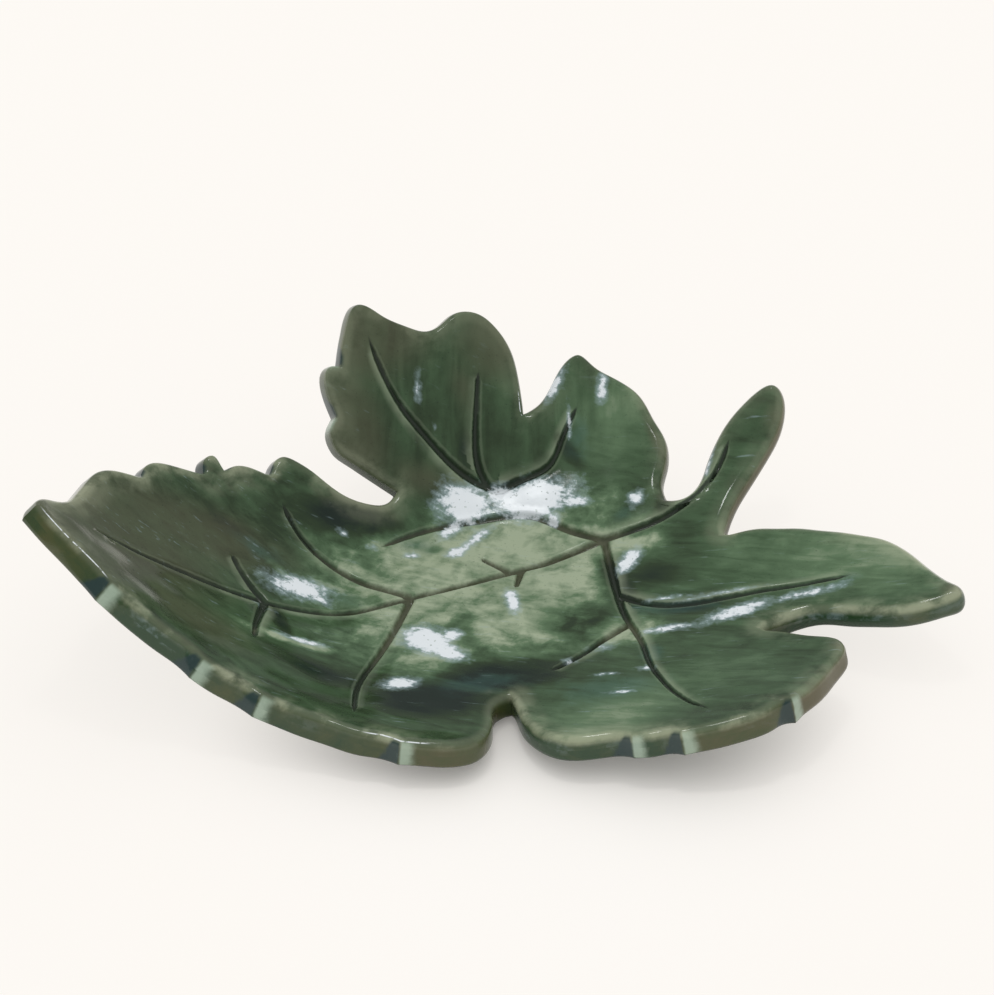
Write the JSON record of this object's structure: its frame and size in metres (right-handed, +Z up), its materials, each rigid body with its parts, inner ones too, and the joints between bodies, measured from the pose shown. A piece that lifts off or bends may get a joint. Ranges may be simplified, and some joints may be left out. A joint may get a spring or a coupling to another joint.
{
  "type": "ring dish",
  "caption": "Small glazed ceramic dish in the shape of a lobed leaf with a curled stem, for holding rings and other small jewellery.",
  "frame": {"origin": "centre of the flat bare patch that the dish rests on", "axes": "+X from the leaf's tip to its stem, +Y towards the tall rear lobes, +Z up"},
  "size_m": [0.1406, 0.1035, 0.0357],
  "materials": {
    "fired_clay": "matte bisque",
    "face_glaze": "gloss",
    "back_glaze": "gloss"
  },
  "bodies": {
    "root": {"clay_body": "fired_clay", "face_glaze": "face_glaze", "back_glaze": "back_glaze"}
  },
  "joints": []
}
